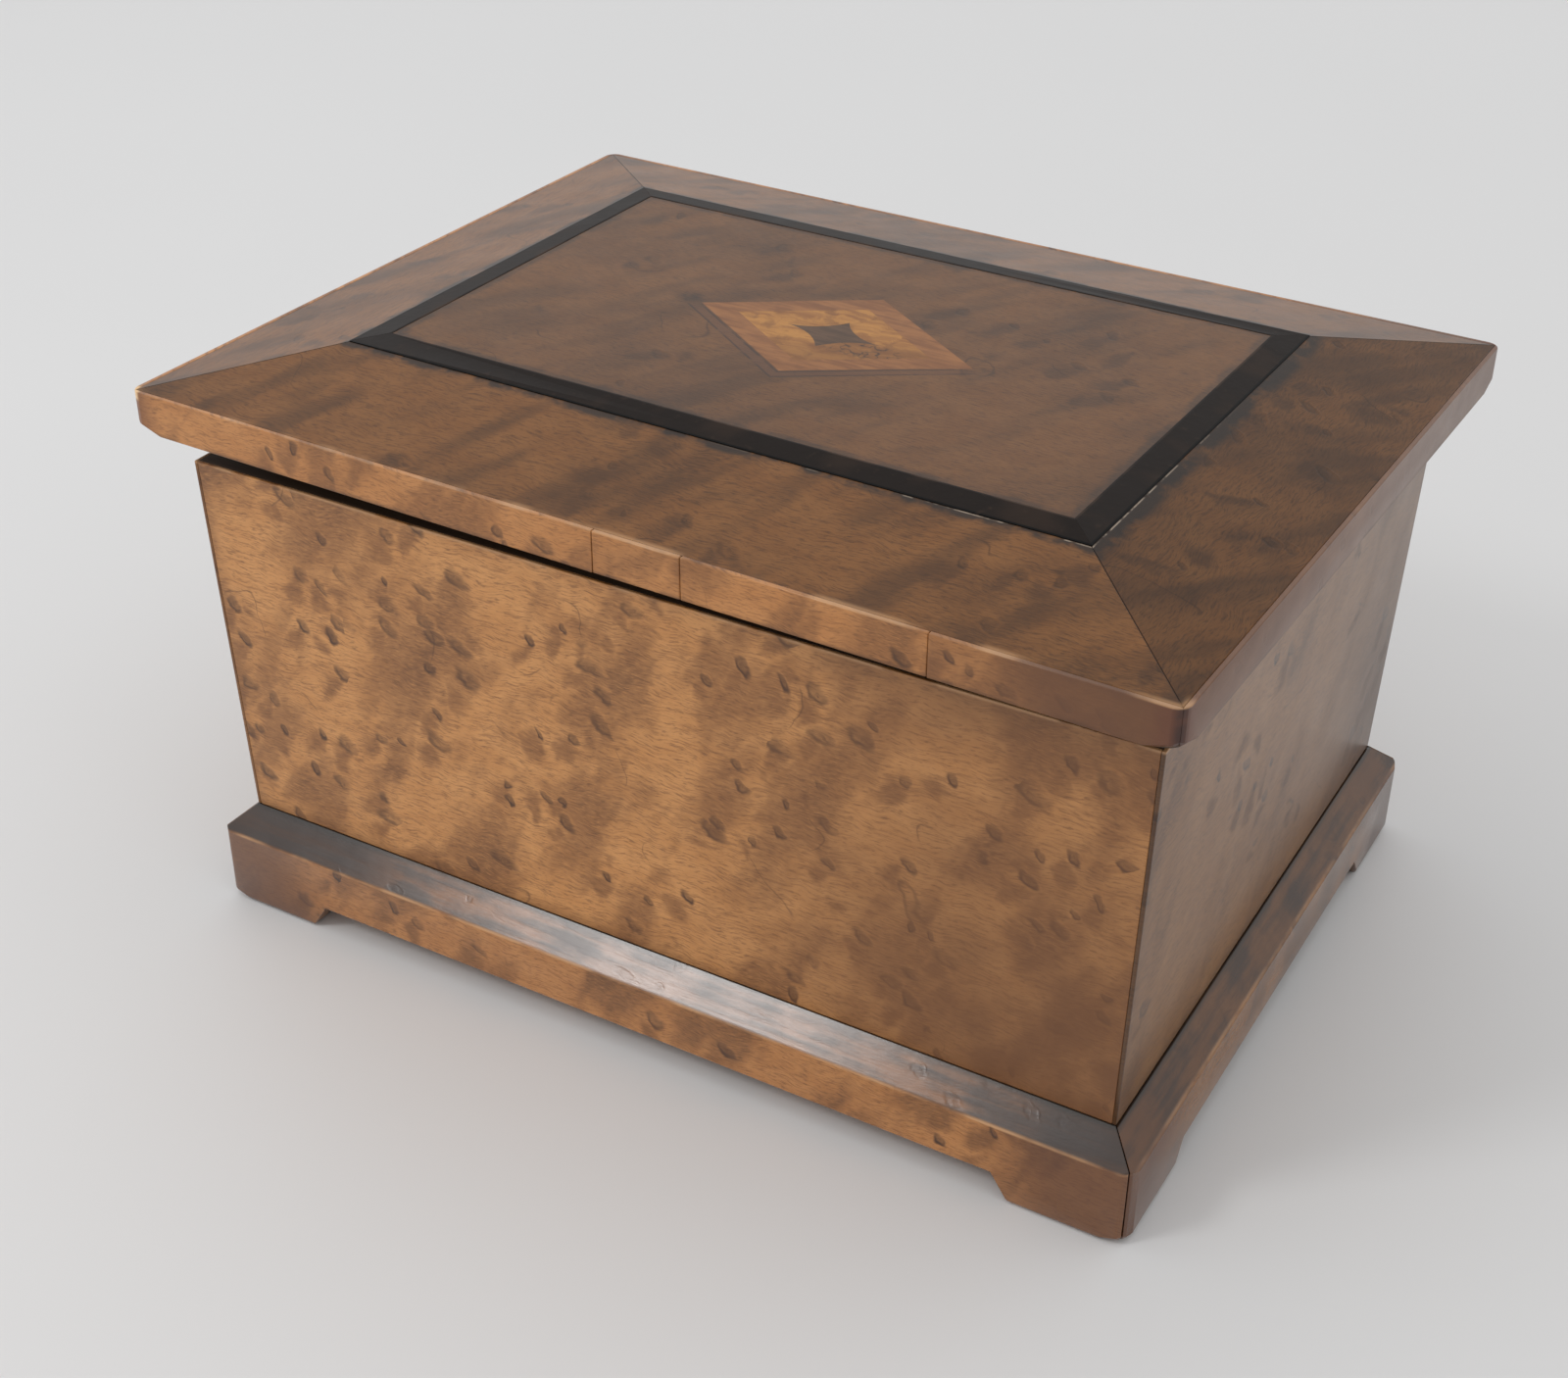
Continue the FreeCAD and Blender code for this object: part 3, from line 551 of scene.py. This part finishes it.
def lid_panel_veneer():
    """Flat panel: a dark strip with darker edge lines along the near sides of the lozenge, and dark stain at its tips.
    """
    kit, (x, y, _), polish, height, smear = lid_polish(
        "lid_panel_veneer", LID_CUT["panel"], along_x=True, depth=0.72, gloss=0.22, share=0.22, streaks=0.48,
        inset=BEVEL_WIDTH, run=3.5, stain=0.5)
    # A dark strip, with darker lines at its edges, along the near sides of the lozenge
    beyond = (in_lozenge(x, y) - 1) * LOZENGE_DEPTH
    near_side = (-y).above(0.5, 3.5)
    strip = beyond.above(0.0, 0.3) * (1 - beyond.above(2.8, 3.2)) * near_side
    strip_darkened = kit.blend(strip * 0.5, polish, NEAR_SIDE_STRIP)
    lines = beyond.near(0.3, 0.45).most(beyond.near(3.0, 0.5)) * near_side * smear.above(0.30, 0.48)
    from_tip = abs(abs(x) - LOZENGE.x - 3.5) * 0.8 + abs(y + x * 0.05)
    tips = (1 - from_tip.above(1.5, 7.0)) * smear.above(0.35, 0.62)
    lined = kit.blend((lines * 0.75).most(tips * 0.75), strip_darkened, NEAR_SIDE_STRIP_LINE)
    return kit.finish(lined, 0.30 + smear * 0.10, height, strength=0.18)


def lid_edge_veneer():
    """Lid edge: golden strip, browner past its last joint and darker on its right end as painted shade, with reddened
    corners, a pale chip, a darker lower edge, and a rubbed arris at the front that is partly painted highlight.
    """
    options = bpy.context.scene.box_finish
    kit = Finish("lid_edge_veneer", GOLD_POLISH)
    x, y, z = lid_place(kit)
    around = x + y
    light, dark = tinted(options.case_light, 0.86, 0.80, 0.76), options.case_dark[:]
    color, height, _ = figured_veneer(kit, around, z, light, dark, 33.0, share=0.40, cloud=22.0)
    patch = kit.noise(kit.vector(around, z * 1.5, 8.0), 11.0, detail=3.0)
    past_joint = x - EDGE_JOINT
    browning = (past_joint.above(5.0, 30.0) * 0.92).most(past_joint.above(0.0, 0.4) * 0.35)
    # The right end of the edge is darkened as painted shade
    shaded_right_end = (x - LID_HALF.x + 1.6).above(0.0, 0.5) * 0.80
    deeper = kit.blend(browning.most(shaded_right_end) * (patch * 0.4 + 0.8), color, tinted(dark, 0.74, 0.72, 0.90))
    corner = (abs(x) - LID_HALF.x + 10.0).above(0.0, 9.0) * (abs(y) - LID_HALF.y + 9.5).above(0.0, 9.0)
    redder = kit.blend(corner * 0.75, deeper, CORNER_RED)
    broken = (x - LID_HALF.x + 3.4).above(0.0, 2.2) * (-y - LID_HALF.y + 3.1).above(0.0, 2.2)
    splintered = kit.blend(broken * patch.above(0.25, 0.55) * 0.85, redder, BROKEN_CORNER)
    # Darker along the lowest 1.4 mm of the edge
    low_edge_dark = (1 - z.above(EDGE_FOOT, EDGE_FOOT + 1.4)) * patch.above(0.3, 0.6)
    darker_areas = kit.blend(low_edge_dark * 0.6, splintered, tinted(dark, 0.4, 0.36, 0.33))
    along = kit.noise(kit.vector(x, y, 6.0), 26.0, detail=3.5)
    # Lighter line on the front arris: rubbed wear and painted highlight
    arris_rub_and_glint = z.near(EDGE_TOP, 0.5) * along.above(0.44, 0.58) * (-y - LID_HALF.y + 6.5).above(0.0, 4.0)
    rubbed = kit.blend(arris_rub_and_glint * 0.65, darker_areas, options.worn[:])
    at_corner = (1 - (x + LID_HALF.x).above(2.0, 3.4)) * (1 - (y + LID_HALF.y).above(2.2, 3.6))
    chipped = kit.blend(at_corner * z.above(EDGE_TOP - 2.6, EDGE_TOP - 1.4), rubbed, PALE_CHIP)
    return kit.finish(chipped, 0.28 + patch * 0.12, height, strength=0.28)


def ebonised_bevel():
    """Stained bevel round the panel: near black, brown where thin, with a painted shadow line for the groove at its
    foot.
    """
    options = bpy.context.scene.box_finish
    kit = Finish("ebonised_bevel", {"Specular IOR Level": 0.07})
    x, y, z = lid_place(kit)
    grain = kit.noise(kit.vector(x * 0.5, y * 0.5, z), 1.3, detail=3.0)
    thin = kit.noise(kit.vector(x, y, 3.0), 15.0, detail=2.5)
    color = kit.blend(thin.above(0.48, 0.70) * 0.6, options.ebony[:], THIN_EBONY)
    from_foot = past_bevel(x, y)
    # Painted shadow of the groove along the bevel's foot
    lined = kit.blend((from_foot + 0.75).above(0.0, 0.35), color, GROOVE_SHADOW)
    crest = from_foot.near(0.3 - BEVEL_WIDTH, 0.5) * thin.above(0.45, 0.6)
    rubbed = kit.blend((grain.above(0.60, 0.8) * 0.22).most(crest * 0.5), lined, RUBBED_EBONY)
    return kit.finish(rubbed, 0.36 + thin * 0.14, grain, strength=0.15)


def lozenge_wood(name, light, dark, grain_size, burr=0.0, glued=0.0, cracked=False):
    """Inlay wood with straight grain or a swirling burr, dark glue at its outline, and cracks where asked."""
    kit = Finish(name, {"Coat Weight": 0.04, "Coat Roughness": 0.2, "Specular IOR Level": 0.20})
    x, y, _ = lid_place(kit)
    where = kit.vector(x, y, 4.0)
    swirl = kit.noise(kit.warp(where, 5.0, burr * 1.6), 5.5, detail=3.0)
    bend = (swirl - 0.5) * burr
    grain = kit.noise(kit.vector(x * 0.18 + bend, y * 1.1 + bend * 2.0, 1.0), grain_size, detail=4.0, roughness=0.6)
    color = kit.blend(grain.above(0.36, 0.66), light, dark)
    mottled = kit.blend(swirl.above(0.52, 0.68) * (0.20 + burr * 0.12), color, tinted(dark, 0.62, 0.56, 0.5))
    outline = 1 - (1 - in_lozenge(x, y)).above(0.0, 0.030)
    surface = kit.blend(outline * glued * (-(x * 0.3) - y).above(-14.0, 6.0), mottled, GLUE)
    if cracked:
        split = kit.noise(kit.warp(where, 2.2, 2.4), 3.4, detail=1.0).near(0.5, 0.055)
        region = (1 - abs(x - 12.0).above(6.0, 13.0)) * (1 - abs(y + 4.5).above(2.5, 5.5))
        stain = ((x * 0.5 - y).above(3.0, 13.0) * 0.5).most(region * 0.6)
        stained = kit.blend(stain, surface, tinted(dark, 0.62, 0.6, 0.6))
        surface = kit.blend(split * region * 0.85, stained, CRACK)
    return kit.finish(surface, 0.30 + grain * 0.08, grain, strength=0.10)


def plain_wood(name, light, dark, roughness):
    """Straight-grained wood of the inside, with near-black painted shadow from just below the rim upwards, where the
    lid shades it.
    """
    kit = Finish(name)
    x, y, z = kit.place()
    wander = kit.noise(kit.vector(x, y, z), 30.0, detail=2.0)
    rings = kit.noise(kit.vector(x * 0.06 + wander * 1.5, y * 0.5, z * 0.9), 2.2, detail=4.0, roughness=0.6)
    pores = kit.noise(kit.vector(x * 0.15, y * 2.0, z * 2.0), 0.9, detail=2.0)
    color = kit.blend(rings.above(0.35, 0.68), light, dark)
    pored = kit.blend(pores.above(0.60, 0.72) * 0.4, color, dimmed(dark, 0.5))
    # Painted shadow of the lid: near black from just below the rim upwards
    rim_shadowed = kit.blend((z - RIM + 0.9).above(0.0, 0.5) * 0.9, pored, RIM_SHADOW)
    return kit.finish(rim_shadowed, roughness + rings * 0.1, rings - pores * 0.5, strength=0.15)


def aged_brass():
    """Turned brass with fine tool lines and a brown bloom."""
    kit = Finish("aged_brass", {"Metallic": 1.0})
    x, y, z = kit.place()
    lines = kit.noise(kit.vector(x * 0.2, y * 0.2, z * 6.0), 1.0, detail=2.0)
    bloom = kit.noise(kit.vector(x, y, z), 5.0, detail=3.0)
    color = kit.blend(bloom.above(0.45, 0.72) * 0.6, BRASS, BRASS_BLOOM)
    return kit.finish(color, 0.24 + bloom * 0.25, lines, strength=0.08)


def corner_cuts(half, foot, radius, turn=0.0):
    """Planes in metres that round the four upright corners of a rectangle, and the lower tip of each."""
    middle = LID_PIVOT if turn else Vector()
    turned = Matrix.Rotation(turn, 3, "Z")
    cuts = []
    for across in (-1, 1):
        for along in (-1, 1):
            heart = Vector((along * (half.x - radius), across * (half.y - radius), foot + radius))
            for facet in CORNER_FACETS:
                around, down = map(math.radians, facet)
                facing = Vector((along * math.cos(around) * math.cos(down),
                                 across * math.sin(around) * math.cos(down), -math.sin(down)))
                touch = heart + facing * radius
                flat = Vector((touch.x - middle.x, touch.y - middle.y, 0.0))
                place = turned @ flat + Vector((middle.x, middle.y, touch.z))
                cuts.append((place / PER_M, turned @ facing))
    return cuts


def lid_cuts():
    """Planes that round the corners of the lid as it stands at rest."""
    return corner_cuts(LID_HALF, EDGE_FOOT, bpy.context.scene.box_finish.lid_corner * PER_M, LID_TURN)


def foot_cuts(half, radius):
    """Planes that soften the lower outer edges of the feet."""
    cuts = []
    for side in (-1, 1):
        for facet in FOOT_FACETS:
            out, under = math.cos(math.radians(facet)), -math.sin(math.radians(facet))
            level = radius + under * radius
            cuts.append((Vector((side * (half.x - radius + out * radius), 0, level)) / PER_M,
                         Vector((side * out, 0, under))))
            cuts.append((Vector((0, side * (half.y - radius + out * radius), level)) / PER_M,
                         Vector((0, side * out, under))))
    return cuts


def rubbed_copy(node, body, cuts):
    """A piece's own mesh with its corners worn round, standing in for the square-cornered one."""
    mesh = NODES[node].data.copy()
    piece = bpy.data.objects.new(f"{node}_worn", mesh)
    bpy.context.scene.collection.objects.link(piece)
    bpy.ops.object.select_all(action="DESELECT")
    piece.select_set(True)
    bpy.context.view_layer.objects.active = piece
    bpy.ops.object.mode_set(mode="EDIT")
    bpy.ops.mesh.select_all(action="SELECT")
    bpy.ops.mesh.remove_doubles(threshold=SAME_PLACE)
    bpy.ops.mesh.dissolve_limited(angle_limit=FLAT_ANGLE)
    for place, facing in cuts:
        piece.update_from_editmode()
        if max((point.co - place).dot(facing) for point in mesh.vertices) > LEAST_CUT:
            bpy.ops.mesh.select_all(action="SELECT")
            bpy.ops.mesh.bisect(plane_co=place, plane_no=facing, use_fill=True, clear_outer=True,
                                threshold=CUT_TOLERANCE)
    bpy.ops.mesh.select_all(action="SELECT")
    bpy.ops.mesh.normals_make_consistent(inside=False)
    bpy.ops.object.mode_set(mode="OBJECT")
    if not mesh.polygons:
        raise RuntimeError(f"{node} was cut away")
    bpy.ops.object.shade_smooth_by_angle(angle=SMOOTH_ANGLE)
    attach(piece, body)
    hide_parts(node)
    return piece


def dress(pieces, material, arris=0.0):
    """Give pieces their finish and, where asked, the soft arris of hand work."""
    for piece in pieces:
        piece = NODES[piece] if isinstance(piece, str) else piece
        piece.data.materials.clear()
        piece.data.materials.append(material)
        if arris:
            weld = piece.modifiers.new("joined_faces", "WELD")
            weld.merge_threshold = SAME_PLACE
            soft = piece.modifiers.new("soft_arris", "BEVEL")
            soft.width = arris
            soft.segments = 2
            soft.limit_method = "ANGLE"
            soft.angle_limit = ARRIS_ANGLE


class BOX_OT_case(bpy.types.Operator):
    """Finish the four veneered walls of the case"""
    bl_idname = "puzzle_box.case"
    bl_label = "Case walls"

    def execute(self, context):
        arris = context.scene.box_finish.arris
        for side in SIDES:
            dress([f"{side}_veneer"], case_veneer(side), arris * 0.5)
        return {"FINISHED"}


class BOX_OT_plinth(bpy.types.Operator):
    """Finish the plinth lengths and the drawer front that matches them"""
    bl_idname = "puzzle_box.plinth"
    bl_label = "Plinth"

    def execute(self, context):
        finish = context.scene.box_finish
        cuts = corner_cuts(PLINTH_HALF, 0.0, finish.foot_corner * PER_M)
        cuts += foot_cuts(PLINTH_HALF, finish.foot_edge * PER_M)
        for side in SIDES:
            name, body = ("drawer_front", "plinth_drawer") if side == "right" else (f"plinth_{side}", "case")
            dress([rubbed_copy(name, body, cuts)], plinth_veneer(side), finish.arris * 1.2)
        return {"FINISHED"}


class BOX_OT_lid(bpy.types.Operator):
    """Finish the lid's rails, edge strips and panel"""
    bl_idname = "puzzle_box.lid"
    bl_label = "Lid"

    def execute(self, context):
        arris = context.scene.box_finish.arris
        cuts = lid_cuts()
        for side in SIDES:
            rail = rubbed_copy(f"lid_rail_{side}", "lid", cuts)
            dress([rail], lid_rail_veneer(side), arris * 0.35)
        dress(["lid_panel"], lid_panel_veneer())
        edges = [name for name in NODES if name.startswith("lid_edge")]
        dress([rubbed_copy(name, "lid", cuts) for name in edges], lid_edge_veneer(), arris * 0.5)
        return {"FINISHED"}


class BOX_OT_inlay(bpy.types.Operator):
    """Finish the ebonised strips and the lozenge"""
    bl_idname = "puzzle_box.inlay"
    bl_label = "Strips and lozenge"

    def execute(self, context):
        dress([f"band_{side}" for side in SIDES], ebonised_bevel(), context.scene.box_finish.arris * 0.2)
        border = lozenge_wood("lozenge_border_wood", *BORDER_WOOD, grain_size=2.2, glued=0.9)
        field = lozenge_wood("lozenge_field_burr", *FIELD_BURR, grain_size=2.6, burr=3.0, cracked=True)
        star = lozenge_wood("lozenge_star_wood", *STAR_WOOD, grain_size=1.6)
        dress(["lozenge_border"], border)
        dress(["lozenge_field"], field)
        dress(["lozenge_star"], star)
        return {"FINISHED"}


class BOX_OT_inside(bpy.types.Operator):
    """Finish the liner, boards, drawer and blocks"""
    bl_idname = "puzzle_box.inside"
    bl_label = "Inside and drawer"

    def execute(self, context):
        arris = context.scene.box_finish.arris * 0.5
        lining = [f"neck_{side}" for side in SIDES] + ["pivot_block", "lock_block"]
        # The liner and the blocks get the neck's near-black painted shade
        dress(lining, plain_wood("shadowed_neck", *SHADED_NECK_WOOD, roughness=0.45), arris)
        drawer = ["drawer_bottom", "drawer_side_front", "drawer_side_back", "drawer_back"]
        dress(drawer, plain_wood("lining_wood", *DRAWER_WOOD, roughness=0.42), arris)
        ground = [f"{side}_wall" for side in SIDES] + ["case_bottom", "base_board", "drawer_stop", "lid_stop"]
        ground.append(rubbed_copy("lid_core", "lid", lid_cuts()))
        dress(ground, plain_wood("ground_wood", *GROUND_WOOD, roughness=0.60))
        return {"FINISHED"}


class BOX_OT_hardware(bpy.types.Operator):
    """Finish the brass of the pivot and the lock"""
    bl_idname = "puzzle_box.hardware"
    bl_label = "Pivot and lock"

    def execute(self, context):
        brass = ["pivot_bush", "pivot_pin", "pivot_washer", "pivot_collar", "lock_pin", "lock_button", "lock_keeper"]
        dress(brass, aged_brass(), context.scene.box_finish.arris * 0.4)
        return {"FINISHED"}


class BOX_OT_stage(bpy.types.Operator):
    """Set the floor, the lights and the camera"""
    bl_idname = "puzzle_box.stage"
    bl_label = "Studio"

    def floor(self, color):
        bpy.ops.object.select_all(action="DESELECT")
        bpy.ops.mesh.primitive_plane_add(size=FLOOR_SIZE, location=(0, 0, -FLOOR_DROP))
        floor = bpy.context.object
        floor.name = "studio_floor"
        kit = Finish("pale_floor")
        x, y, _ = kit.place()
        haze = kit.noise(kit.vector(x, y), 240.0, detail=2.0)
        shade = kit.blend(haze, dimmed(color, 0.97), color)
        floor.data.materials.append(kit.finish(shade, 0.5 + haze * 0.05))

    def window(self, studio):
        light = bpy.data.lights.new("window_light", "AREA")
        light.shape = "DISK"
        light.size = studio.window_size
        light.energy = studio.window_power
        lamp = bpy.data.objects.new("window_light", light)
        place, aim = Vector(studio.window_place), Vector(studio.window_aim)
        lamp.location = place
        lamp.rotation_euler = (aim - place).to_track_quat("-Z", "Y").to_euler()
        bpy.context.scene.collection.objects.link(lamp)

    def camera(self, studio):
        lens = bpy.data.cameras.new("photo_camera")
        lens.lens = studio.lens
        lens.clip_start = 0.01
        camera = bpy.data.objects.new("photo_camera", lens)
        place, aim = Vector(studio.camera_place), Vector(studio.camera_aim)
        turn = (aim - place).to_track_quat("-Z", "Y").to_matrix().to_4x4()
        camera.matrix_world = Matrix.Translation(place) @ turn @ Matrix.Rotation(studio.camera_roll, 4, "Z")
        bpy.context.scene.collection.objects.link(camera)
        bpy.context.scene.camera = camera

    def execute(self, context):
        studio = context.scene.box_studio
        context.scene.view_settings.view_transform = "Standard"
        world = bpy.data.worlds.new("pale_room")
        world.use_nodes = True
        world.node_tree.nodes["Background"].inputs["Color"].default_value = (1.0, 1.0, 1.0, 1.0)
        world.node_tree.nodes["Background"].inputs["Strength"].default_value = studio.sky_level
        context.scene.world = world
        self.floor(studio.floor_color[:])
        self.window(studio)
        self.camera(studio)
        return {"FINISHED"}


STEPS = (BOX_OT_case, BOX_OT_plinth, BOX_OT_lid, BOX_OT_inlay, BOX_OT_inside, BOX_OT_hardware, BOX_OT_stage)


class BOX_PT_panel(bpy.types.Panel):
    """Sidebar panel with the box's steps"""
    bl_idname = "BOX_PT_panel"
    bl_label = "Puzzle box"
    bl_space_type = "VIEW_3D"
    bl_region_type = "UI"
    bl_category = "Puzzle Box"

    def draw(self, context):
        for step in STEPS:
            self.layout.operator(step.bl_idname)


CLASSES = (BoxFinish, BoxStudio, *STEPS, BOX_PT_panel)


def register():
    for item in CLASSES:
        bpy.utils.register_class(item)
    bpy.types.Scene.box_finish = bpy.props.PointerProperty(type=BoxFinish)
    bpy.types.Scene.box_studio = bpy.props.PointerProperty(type=BoxStudio)


def unregister():
    del bpy.types.Scene.box_studio
    del bpy.types.Scene.box_finish
    for item in reversed(CLASSES):
        bpy.utils.unregister_class(item)


def main():
    register()
    bpy.ops.puzzle_box.case()
    bpy.ops.puzzle_box.plinth()
    bpy.ops.puzzle_box.lid()
    bpy.ops.puzzle_box.inlay()
    bpy.ops.puzzle_box.inside()
    bpy.ops.puzzle_box.hardware()
    bpy.ops.puzzle_box.stage()


if __name__ == "__main__":
    main()
